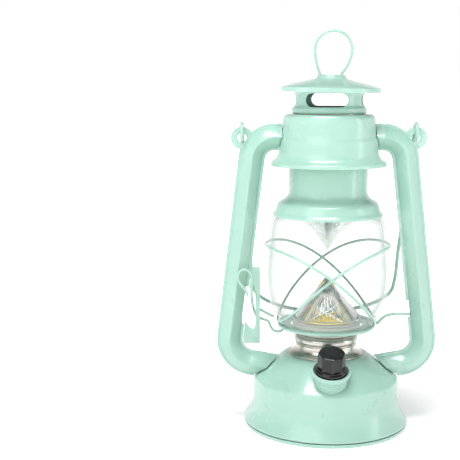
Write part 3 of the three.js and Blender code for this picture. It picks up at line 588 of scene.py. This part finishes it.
lens_plastic = Finish('lens_acrylic', Roughness=0.03, Transmission_Weight=1.0, IOR=1.47)
frost_from, frost_full = 0.1012, 0.1024        # metres above the floor
tip_frost = lens_plastic.node('ShaderNodeSeparateXYZ', Vector=lens_plastic.place,
                              output=2).clip(frost_from, frost_full)
lens_acrylic = lens_plastic.set(
    Base_Color=lens_plastic.blend(tip_frost, (0.97, 0.985, 0.98), (0.42, 0.52, 0.46)),
    Roughness=tip_frost * 0.35 + lens_plastic.noise(90, 3) * 0.05 + 0.02,
    Normal=lens_plastic.bump(lens_plastic.noise(260, 2), 0.05, 0.0002))
lens_foot, lens_radius, lens_tip, flutes, flute_share = 75.55, 24.0, 104.55, 48, 0.95
fluted_rings = [[23.4, 77.2], [12.2, 90.0], [1.4, 103.6]]
lens = turned([[0, 102.4], [11.0, 89.6], [22.2, 77.0], [22.5, lens_foot], [lens_radius, lens_foot],
               [lens_radius, 76.6], *fluted_rings, [0.9, 104.3], [0, lens_tip]], 2 * flutes)
fluted_heights = [z for _, z in fluted_rings]
pick(lens, lambda p: round(math.atan2(p.y, p.x) / math.tau * 2 * flutes) % 2 == 0
     and min(abs(p.z - z) for z in fluted_heights) < 0.01)
bpy.ops.transform.resize(value=(flute_share, flute_share, 1), center_override=(0, 0, 0))
bpy.ops.object.mode_set(mode='OBJECT')
face_outwards(lens)
smooth(lens, 12)
fit(lens, 'fluted_cone_lens', lens_acrylic, 'frame', 'clear_plastic', 'cone_lens')

# ------------------------------------------------------------------ the globe
# A blown clear-glass barrel with a straight foot and a drawn-in mouth. It stands on the guard's
# plate and its mouth fits inside the bell.


def see_through(name, tint, face_on, edge_on):
    """Thin clear walls: hardly there face on, and tinted and bright where they turn away."""
    clear = Finish(name, IOR=1.46)
    turning = clear.node('ShaderNodeLayerWeight', output='Facing', Blend=0.35)
    film = clear.noise(40, 4).clip(0.45, 0.95)
    return clear.set(
        Base_Color=clear.blend(clear.noise(20, 2), tint, tuple(0.5 + v / 2 for v in tint)),
        Alpha=turning ** 2 * edge_on + film * 0.03 + face_on,
        Roughness=film * 0.08 + 0.02, Normal=clear.bump(clear.noise(26, 2), 0.06, 0.0012))


clear_glass = see_through('clear_glass', (0.42, 0.52, 0.48), 0.03, 0.9)
globe_foot_z, globe_height, glass_wall = 72.5, 78.1, 1.8
globe_foot, globe_girth, globe_mouth = 32.9, 42.6, 34.9
globe_line = [[radius, globe_foot_z + globe_height * share] for share, radius in (
    (0, globe_foot), (0.022, globe_foot + 0.1), (0.075, globe_foot + 2.2),
    (0.145, globe_foot + 5.5), (0.225, globe_girth - 1.6), (0.34, globe_girth - 0.2),
    (0.48, globe_girth), (0.66, globe_girth - 1.0), (0.84, globe_girth - 2.5),
    (0.93, globe_girth - 4.1), (0.965, globe_mouth + 1.2), (1, globe_mouth))]
globe_curve = curved(globe_line, 5)
globe = turned(globe_curve, 160)
walled(globe, glass_wall)
soften(globe, 0.5, 3, 50)
smooth(globe, 60)
fit(globe, 'glass_globe', clear_glass, 'globe_carrier', 'globe_glass', 'globe')

# ------------------------------------------------------------------ the wire guard
# The globe's plate sits in a ring of thick wire. Two thinner hoops cross in front and behind, each
# low on one side and high on the other, and short wires welded to them run in the tubes as guides.
carrier_plate = turned([[24.7, 70.4], [31.35, 70.4], [31.35, 71.2], [24.7, 71.2]], 96, close=True)
soften(carrier_plate, 0.12, 2, 40)
smooth(carrier_plate)
fit(carrier_plate, 'carrier_plate', mint_enamel, 'globe_carrier', 'painted_steel', 'globe_plate')

ring_z, ring_radius, ring_wire, hoop_wire = 70.8, 33.0, 1.3, 0.95
bpy.ops.mesh.primitive_torus_add(major_radius=ring_radius * MM, minor_radius=ring_wire * MM,
                                 major_segments=128, minor_segments=20,
                                 location=(0, 0, ring_z * MM))
guard_ring = settle(bpy.context.object)
smooth(guard_ring, 60)
fit(guard_ring, 'carrier_ring', mint_wire, 'globe_carrier', 'painted_steel', 'guard_ring')


def wire(points, radius, closed=False, detail=6, sides=6):
    """A round wire of that radius in mm through points in mm."""
    bpy.ops.curve.primitive_bezier_curve_add(location=(0, 0, 0))
    line = bpy.context.object.data
    spline = line.splines[0]
    spline.bezier_points.add(len(points) - 2)
    for knot, point in zip(spline.bezier_points, points):
        knot.co = Vector(point) * MM
        knot.handle_left_type = knot.handle_right_type = 'AUTO'
    spline.use_cyclic_u = closed
    spline.resolution_u = detail
    line.bevel_depth = radius * MM
    line.bevel_resolution = sides
    line.use_fill_caps = True
    bpy.ops.object.convert(target='MESH')
    piece = face_outwards(settle(bpy.context.object), 0.002)
    smooth(piece, 50)
    return piece


def globe_reach(z):
    """The globe's outer radius at a height, both in mm."""
    z = min(max(z, globe_curve[0][1]), globe_curve[-1][1])
    for (r0, z0), (r1, z1) in zip(globe_curve, globe_curve[1:]):
        if z <= z1:
            return r0 + (r1 - r0) * (z - z0) / (z1 - z0)
    return globe_curve[-1][0]


clearance, glass_room, guide_wire = 0.35, 0.6, 1.0
hoop_low, hoop_mid, hoop_high = ring_z + ring_wire + clearance + hoop_wire, 110.3, 127.4


def hoop(side, bow):
    """A closed hoop that hugs the glass, low on one side, high on the other."""
    def reach(z):
        return globe_reach(z) + glass_room + hoop_wire
    low, high = reach(hoop_low), reach(hoop_high)
    bend = ((hoop_high - hoop_mid) / high - (hoop_mid - hoop_low) / low) / (high + low)
    slope = (hoop_mid - hoop_low) / low + bend * low
    points, count = [], 48
    for i in range(count):
        angle, z = i * math.tau / count, hoop_mid
        for _ in range(30):
            x = -reach(z) * math.cos(angle)
            z = 0.5 * (z + hoop_mid + slope * x + bend * x * x)
        far = reach(z) + bow * math.sin(angle) ** 4
        points.append((-side * far * math.cos(angle), -far * math.sin(angle), z))
    return wire(points, hoop_wire, closed=True, detail=4)


fit(hoop(1, 0), 'hoop_left', mint_wire, 'globe_carrier', 'painted_steel', 'guard_hoop_left')
fit(hoop(-1, 2 * hoop_wire + clearance), 'hoop_right', mint_wire, 'globe_carrier', 'painted_steel',
    'guard_hoop_right')
ring_edge = ring_radius + ring_wire + clearance
guide_right = [(ring_edge + 0.8, 0, ring_z - 0.4), (ring_edge + 2, 0, ring_z + 0.8),
               (ring_edge + 5.6, 0, ring_z + 4.6), (ring_edge + 10, 0, ring_z + 6.5),
               (ring_edge + 24, 0, ring_z + 6.9)]
fit(wire(guide_right, guide_wire), 'guide_right', mint_wire, 'globe_carrier', 'painted_steel',
    'guide_wire_right')
hoop_edge = globe_reach(hoop_low) + 2 * hoop_wire + 0.95 + 1.2
guide_left = [(-hoop_edge, 2.6, hoop_low + 1.6), (-hoop_edge - 4, 2.6, hoop_low + 3.6),
              (-hoop_edge - 10.6, 2.6, hoop_low + 7.3)]
fit(wire(guide_left, guide_wire), 'guide_left', mint_wire, 'globe_carrier', 'painted_steel',
    'guide_wire_left')

# ------------------------------------------------------------------ the bell and neck
# One spun sheet: a stepped bell that caps the globe, drawn up into the straight neck that slides in
# the air chamber. It lifts the globe free when the finger loop is pulled.
bell = turned([[37.9, 148.0], [37.9, 149.2], [37.5, 149.9], [36.5, 150.7], [36.1, 151.5],
               [35.7, 153.0], [35.2, 154.6], [34.7, 156.0], [33.8, 157.1], [32.0, 158.2],
               [30.2, 159.2], [28.7, 160.4], [27.7, 161.8], [27.2, 163.2], [27.1, 164.8],
               [27.1, 191.4], [26.7, 192.2], [26.0, 192.4], [22.95, 192.4]], 144)
walled(bell, sheet)
smooth(bell, 34)
fit(bell, 'bell_cover', mint_enamel, 'chimney', 'painted_steel', 'bell_and_neck')

# ------------------------------------------------------------------ the reflectors
# Inside the bell a plated cone points down into the globe, within a clear cone, and both hang
# from a ring of grey plastic.
# The plating is tinted green, with random darker patches: a painted reflection of the mint enamel
# round it.
plated = Finish('mirror_plating', Roughness=0.06, Metallic=1.0)
haze = plated.noise(120, 5).clip(0.5, 0.9)
mirror_plating = plated.set(
    Base_Color=plated.blend(haze, (0.66, 0.78, 0.72), (0.5, 0.62, 0.56)),
    Roughness=haze * 0.15 + 0.04, Normal=plated.bump(plated.noise(70, 2), 0.08, 0.0005))
mirror_sheet, cover_wall = 0.6, 1.2
mirror = turned([[0, 127.2], [18, 156.57], [18, 164.05]], 96)
walled(mirror, mirror_sheet)
smooth(mirror, 20)
fit(mirror, 'mirror_reflector', mirror_plating, 'chimney', 'mirror_plate', 'mirror_cone')
clear_cover = see_through('clear_cover', (0.8, 0.88, 0.84), 0.07, 0.75)
clear_cone = turned([[0, 123.2], [21, 148.2], [21, 164.05]], 96)
walled(clear_cone, cover_wall)
smooth(clear_cone, 20)
fit(clear_cone, 'clear_reflector_cover', clear_cover, 'chimney', 'clear_plastic', 'clear_cone')
refinish(grey_moulding, 'reflector_holder')

# ------------------------------------------------------------------ the flue and the slotted crown
# A plain nickel tube rises through the air chamber. The enamelled crown on it is pierced with four
# long round-ended slots, two wide and two narrow, that let warm air out under the cap.
flue = turned([[22.6, 187.6], [22.6, 221.6]], 96)
walled(flue, sheet)
smooth(flue)
fit(flue, 'flue', bright_nickel, 'chimney', 'nickel', 'flue_tube')

crown = turned([[24.4, 218.0], [25.1, 218.3], [25.5, 219.0], [25.5, 221.2], [25.2, 221.9],
                [24.4, 222.5], [23.8, 223.4], [23.55, 225.0], [23.5, 227.0], [23.55, 229.2],
                [23.8, 231.0], [24.3, 232.2], [25.1, 233.1], [25.7, 234.0], [25.7, 236.0]], 160)
walled(crown, sheet)


crown_turn, slot_height, slot_z = math.radians(-9.8), 9.3, 227.2
wide_slot, narrow_slot, bar_length = 14.16, 7.94, 80


def slot_cutter(half_width, turn_by):
    """A bar with round ends, lying across the crown."""
    bpy.ops.mesh.primitive_circle_add(vertices=48, radius=slot_height / 2 * MM, fill_type='NGON')
    bar = bpy.context.object
    bpy.ops.object.mode_set(mode='EDIT')
    bpy.ops.mesh.select_all(action='SELECT')
    bpy.ops.mesh.extrude_region_move(TRANSFORM_OT_translate={'value': (0, 0, bar_length * MM)})
    bpy.ops.object.mode_set(mode='OBJECT')
    for side in (-1, 1):
        pick(bar, lambda p: p.x * side > 0.01)
        bpy.ops.transform.translate(value=(side * (half_width - slot_height / 2) * MM, 0, 0))
        bpy.ops.object.mode_set(mode='OBJECT')
    bar.rotation_euler = (math.radians(90), 0, turn_by)
    bar.location = Matrix.Rotation(turn_by, 4, 'Z') @ Vector((0, bar_length / 2 * MM, slot_z * MM))
    return face_outwards(settle(bar))


carve(crown, slot_cutter(wide_slot, crown_turn),
      slot_cutter(narrow_slot, crown_turn + math.radians(90)))
soften(crown, 0.16, 2, 50)
smooth(crown, 34)
fit(crown, 'slotted_vent', mint_enamel, 'chimney', 'painted_steel', 'slotted_crown')

# ------------------------------------------------------------------ the cap and finger loop
# A shallow spun cone with a turned-down rim and a small flat boss, set a degree out of true. A
# spring-wire loop to lift the chimney by has its legs pushed through two holes in the boss.
cap_seat, cap_tilt = (0.001, 0, 0.2324), math.radians(1.3)


def onto_crown(piece):
    piece.rotation_euler = (0, cap_tilt, 0)
    piece.location = cap_seat
    return settle(piece)


cap = turned([[34.0, 0], [34.0, 2.2], [33.8, 2.8], [33.2, 3.2], [30.0, 4.2], [25.4, 5.6],
              [17.0, 7.5], [11.2, 8.8], [10.4, 9.2], [9.9, 9.9], [9.7, 10.6], [9.3, 11.2],
              [8.6, 11.6], [0, 11.6]], 144)
walled(cap, sheet)
leg_left, leg_right, leg_hole = -8.2, 6.9, 1.1
carve(cap, peg(leg_hole, 6, 14, leg_left), peg(leg_hole, 6, 14, leg_right))
soften(cap, 0.15, 2, 50)
smooth(cap, 30)
fit(onto_crown(cap), 'vent_cap', mint_enamel, 'chimney', 'painted_steel', 'cap')

loop_radius, loop_x, loop_z, loop_wire = 12.6, 0.8, 28.54, 0.8
bow_top = [(loop_x - loop_radius * math.cos(t), 0, loop_z + loop_radius * math.sin(t))
           for t in (math.radians(20 * i) for i in range(10))]
loop_line = [(leg_left, 0, 9.2), (leg_left, 0, 12.2), (leg_left - 1.7, 0, 17.2),
             (leg_left - 3.1, 0, 22.8), *bow_top, (12.4, 0, 22.8), (10.1, 0, 17.2),
             (leg_right, 0, 12.2), (leg_right, 0, 9.2)]
fit(onto_crown(wire(loop_line, loop_wire)), 'lifting_loop', mint_wire, 'chimney',
    'painted_steel', 'finger_loop')

# ------------------------------------------------------------------ the air chamber
# The wide drum that the side tubes run up to: a spun sheet with a rolled top corner, a step where
# the tubes join and a flange at its open foot, closed by a plain plate round the neck.
chamber = turned([[39.7, 182.6], [39.7, 184.0], [39.4, 184.8], [38.7, 185.4], [37.2, 186.3],
                  [35.9, 187.6], [34.9, 189.2], [34.4, 191.0], [34.1, 193.6], [33.8, 197.0],
                  [33.55, 199.8], [33.3, 200.7], [32.7, 201.5], [32.45, 202.6], [32.2, 205.4],
                  [31.9, 209.2], [31.6, 213.6], [31.3, 215.2], [30.6, 216.5], [29.6, 217.3],
                  [28.2, 217.6], [23.3, 217.6]], 160)
walled(chamber, sheet)
smooth(chamber, 34)
fit(chamber, 'air_drum', mint_enamel, 'frame', 'painted_steel', 'air_chamber')
drum_floor = turned([[27.8, 184.0], [38.2, 184.0], [38.2, 184.8], [27.8, 184.8]], 96, close=True)
soften(drum_floor, 0.12, 2, 40)
smooth(drum_floor)
fit(drum_floor, 'drum_floor', mint_enamel, 'frame', 'painted_steel', 'chamber_floor')

# ------------------------------------------------------------------ the chimney spring
# A coil of spring wire round the flue, which presses the neck down on the globe. It is made as two
# lengths that meet at its middle: the upper one goes with the frame and the lower one with the
# globe's carrier, and neither changes length.
spring_radius, spring_gauge, spring_turns = 24.4, 0.6, 2
spring_foot, spring_middle, spring_top = 193.2, 206.4, 216.2


def coil(low, high):
    count = 16 * spring_turns
    points = []
    for i in range(count + 1):
        around = math.tau * spring_turns * i / count
        points.append((spring_radius * math.cos(around), spring_radius * math.sin(around),
                       low + (high - low) * i / count))
    return wire(points, spring_gauge, detail=2, sides=3)


upper_coil = coil(spring_middle, spring_top - spring_gauge - 0.2)
fit(upper_coil, 'spring_upper', spring_steel, 'frame', 'spring_steel', 'chimney_spring')
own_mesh(upper_coil)
lower_coil = coil(spring_foot + 0.1, spring_middle)
fit(lower_coil, 'spring_lower', spring_steel, 'globe_carrier', 'spring_steel')
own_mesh(lower_coil)

# ------------------------------------------------------------------ the side tubes
# Each tube is two half-shells pressed from sheet and crimped together along flat seam flanges, with
# a ridge down its face. Round ears on the flanges, pierced for the bail, stand at the upper bends.
tube_half_width, tube_depth, half_gap, flange = 9.0, 7.9, 0.175, 1.7
upper_bend, lower_bend, tube_top = (37.0, 186.0, 16.0), (50.1, 60.0, 17.8), 202.0
run, rise = lower_bend[0] - upper_bend[0], upper_bend[1] - lower_bend[1]
straight = math.atan2(run, rise) + math.asin((lower_bend[2] - upper_bend[2])
                                              / math.hypot(run, rise))
foot_turn, foot_slope = math.radians(-80), math.tan(math.radians(10))


def bend_points(bend, first, last, steps):
    x, z, r = bend
    return [(x + r * math.cos(first + (last - first) * i / steps),
             z + r * math.sin(first + (last - first) * i / steps)) for i in range(steps + 1)]


tube_line = [(26.4, tube_top), *bend_points(upper_bend, math.pi / 2, straight, 24),
             *bend_points(lower_bend, straight, foot_turn, 28)]
foot_x, foot_end_z = tube_line[-1]
tube_line.append((28.0, foot_end_z - (foot_x - 28.0) * foot_slope))
w, d = tube_half_width, tube_depth
pressed_section = [(-w, half_gap), (-w, 0.85), (-w + 0.2, 1.0), (-w + flange, 1.0),
                   (-w + flange + 0.25, 1.25), (-w + flange + 0.6, 2.2), (-w + flange + 1.1, 3.0),
                   (-1.5, 7.0), (-0.7, 7.6), (-0.2, d), (0.2, d), (0.7, 7.6), (1.5, 7.0),
                   (w - flange - 1.1, 3.0), (w - flange - 0.6, 2.2), (w - flange - 0.25, 1.25),
                   (w - flange, 1.0), (w - 0.2, 1.0), (w, 0.85), (w, half_gap),
                   (w - 2.6, half_gap), (w - 3.2, 2.6), (w - 4.0, 3.2), (2.8, 5.5), (0.4, d - 0.9),
                   (-0.4, d - 0.9), (-2.8, 5.5), (-w + 4.0, 3.2), (-w + 3.2, 2.6),
                   (-w + 2.6, half_gap)]


def outline_curve(points, closed):
    """A flat line of straight stretches, in mm."""
    bpy.ops.curve.primitive_bezier_curve_add(location=(0, 0, 0))
    drawn = bpy.context.object
    line = drawn.data
    line.dimensions = '2D'
    line.splines.remove(line.splines[0])
    spline = line.splines.new('POLY')
    spline.points.add(len(points) - 1)
    for knot, (x, y) in zip(spline.points, points):
        knot.co = (x * MM, y * MM, 0, 1)
    spline.use_cyclic_u = closed
    line.fill_mode = 'NONE'
    return drawn


def tube_sweep(section):
    """The section drawn along the right-hand tube's middle line."""
    profile = outline_curve(section, True)
    drawn = outline_curve(tube_line, False)
    drawn.data.bevel_mode = 'OBJECT'
    drawn.data.bevel_object = profile
    drawn.data.use_fill_caps = True
    alone(drawn)
    bpy.ops.object.convert(target='MESH')
    piece = bpy.context.object
    bpy.data.objects.remove(profile)
    piece.rotation_euler = (math.radians(90), 0, 0)
    return face_outwards(settle(piece), 0.002)


def seat_cutters():
    """The drum's and the font's outer shapes, a hair larger, to cut the tube's two ends to."""
    drum = turned([[0, 181], [40.05, 181], [40.05, 184.0], [39.1, 185.6], [36.2, 187.7],
                   [34.75, 191.0], [34.15, 197.0], [33.7, 200.6], [32.85, 202.6], [32.25, 209.2],
                   [31.95, 213.8], [31.0, 216.9], [28.2, 218.0], [0, 218.0]], 160)
    pan = turned([[0, 20], [51.4, 20], [51.4, 31.8], [50.4, 34.6], [33.1, 48.4], [28.6, 50.7],
                  [0, 51.0]], 160)
    return drum, pan


ear_x, ear_z, ear_radius, ear_hole, ear_sheet = 59.6, 201.2, 7.6, 3.2, 0.8
guide_slot, guide_slot_place = (12, 3, 12), (57.1, 0, 81.7)
lift_slot, lift_slot_place = (6.4, 3.4, 27), (-56.0, 0, 83.8)


def cross_pin(radius, depth, y, around):
    """A round bar from front to back through the ear's middle."""
    bpy.ops.mesh.primitive_cylinder_add(vertices=around, radius=radius * MM, depth=depth * MM,
                                        location=(ear_x * MM, y * MM, ear_z * MM),
                                        rotation=(math.radians(90), 0, 0))
    return settle(bpy.context.object)


halves = {}
for face in ('front', 'back'):
    toward = -1 if face == 'front' else 1
    half = tube_sweep([(x, -toward * y) for x, y in pressed_section])
    ear = cross_pin(ear_radius, ear_sheet, toward * (half_gap + ear_sheet / 2), 64)
    carve(half, ear, operation='UNION')
    carve(half, cross_pin(ear_hole, 9, 0, 40), *seat_cutters())
    halves[face] = half

for face, half in halves.items():
    alone(half)
    bpy.ops.object.duplicate()
    mirrored = bpy.context.object
    mirrored.scale = (-1, 1, 1)
    face_outwards(settle(mirrored), 0.001)
    carve(half, slab(guide_slot, guide_slot_place, 0.3))
    carve(mirrored, slab(lift_slot, lift_slot_place, 0.3))
    for side, piece in (('right', half), ('left', mirrored)):
        soften(piece, 0.14, 2, 50)
        smooth(piece, 34)
        fit(piece, f'tube_{side}_{face}', mint_enamel, 'frame', 'painted_steel',
            f'side_tube_{side}_{face}')

# ------------------------------------------------------------------ the globe lift
# A flat plate on the left tube carries a bent wire lever. Its thumb loop is pushed outwards and its
# lower arm raises the plate and ring under the globe.
pivot_x, pivot_z, lever_wire, lever_y = -51.8, 84.3, 0.95, 3.2
plate_width, plate_thickness, plate_right, plate_foot, plate_top = 24, 1.0, -46.7, 56.5, 111.1
plate = slab((plate_width, plate_thickness, plate_top - plate_foot),
             (plate_right - plate_width / 2, 0, (plate_foot + plate_top) / 2), 0.15)
window_line = curved([(-50.6, 97.6), (-53.2, 97.2), (-55.2, 93.0), (-56.8, 86.4), (-57.8, 79.3),
                      (-57.2, 73.4), (-54.9, 69.2), (-51.8, 67.0), (-50.2, 68.4), (-49.7, 76.0),
                      (-49.9, 88.0)], 6)
window = outline_curve(window_line, True)
window.data.fill_mode = 'BOTH'
window.data.extrude = 3 * MM
alone(window)
bpy.ops.object.convert(target='MESH')
window = bpy.context.object
window.rotation_euler = (math.radians(90), 0, 0)
face_outwards(settle(window))
tube_edge = tube_half_width + clearance
tube_space = tube_sweep([(-tube_edge, -3), (tube_edge, -3), (tube_edge, 3), (-tube_edge, 3)])
tube_space.scale = (-1, 1, 1)
face_outwards(settle(tube_space))
beyond_tube = slab((60, 6, 90), (-98.1, 0, 84), 0.1)
carve(plate, window, tube_space, beyond_tube)
smooth(plate, 30)
fit(plate, 'lift_plate', mint_enamel, 'frame', 'painted_steel', 'lift_bracket')

lower_arm = [(x, lever_y, z) for x, z in (
    (-30.2, 68.8), (-30.4, 65.9), (-32.8, 64.3), (-36.2, 64.6), (-38.8, 67.2), (-40.8, 71.4),
    (-44.2, 73.0), (-47.8, 74.4), (-50.2, 78.0))]
thumb_loop = [(-52.2, -3.4, 86.2), (-52.7, -8, 92), (-52.8, -9.8, 99), (-52.6, -10.2, 105.8),
              (-54.9, -10.4, 110.2), (-59.1, -10.4, 110.9), (-62.1, -10.4, 107),
              (-60.9, -10.2, 101.8), (-57.5, -9.8, 97.4), (-55.4, -8.8, 92.6)]
lever_line = [*lower_arm, (-51.5, 2.6, pivot_z - 1.8), (pivot_x, 0, pivot_z), *thumb_loop]
fit(wire(lever_line, lever_wire), 'thumb_lever', mint_wire, 'lever', 'painted_steel', 'lift_lever')

# ------------------------------------------------------------------ the bail
# The carrying handle, one length of thick wire: a hook at each end closed round an ear, straight
# arms, and a bow. It hangs down behind the globe and swings over the cap.
hook_radius, bail_wire, bail_length, bail_half, hook_z = 5.6, 1.3, 137.4, 51.5, 205.3
bow_depth = 22
lean = math.asin((ring_edge + bail_wire - hook_radius) / bail_length)
arm_length = bail_length - bow_depth


def hang(x, along):
    return (x, hook_radius + along * math.sin(lean), hook_z - along * math.cos(lean))


def hook(x):
    turns = [math.radians(290 - i * 32) for i in range(10)]
    return [(x, hook_radius * math.cos(t), hook_z + hook_radius * math.sin(t)) for t in turns]


def spread(along):
    return ear_x + (bail_half - ear_x) * along / arm_length


bow = []
for i in range(13):
    along_bow = math.pi * i / 12
    bow.append(hang(bail_half * math.cos(math.pi - along_bow),
                    arm_length + (bail_length - arm_length) * math.sin(along_bow)))
bail_line = [*hook(-ear_x), *(hang(-spread(s), s) for s in (10, 30, 60, 90)), *bow,
             *(hang(spread(s), s) for s in (90, 60, 30, 10)), *reversed(hook(ear_x))]
fit(wire(bail_line, bail_wire, sides=7), 'carrying_bail', mint_wire, 'handle', 'painted_steel',
    'bail')
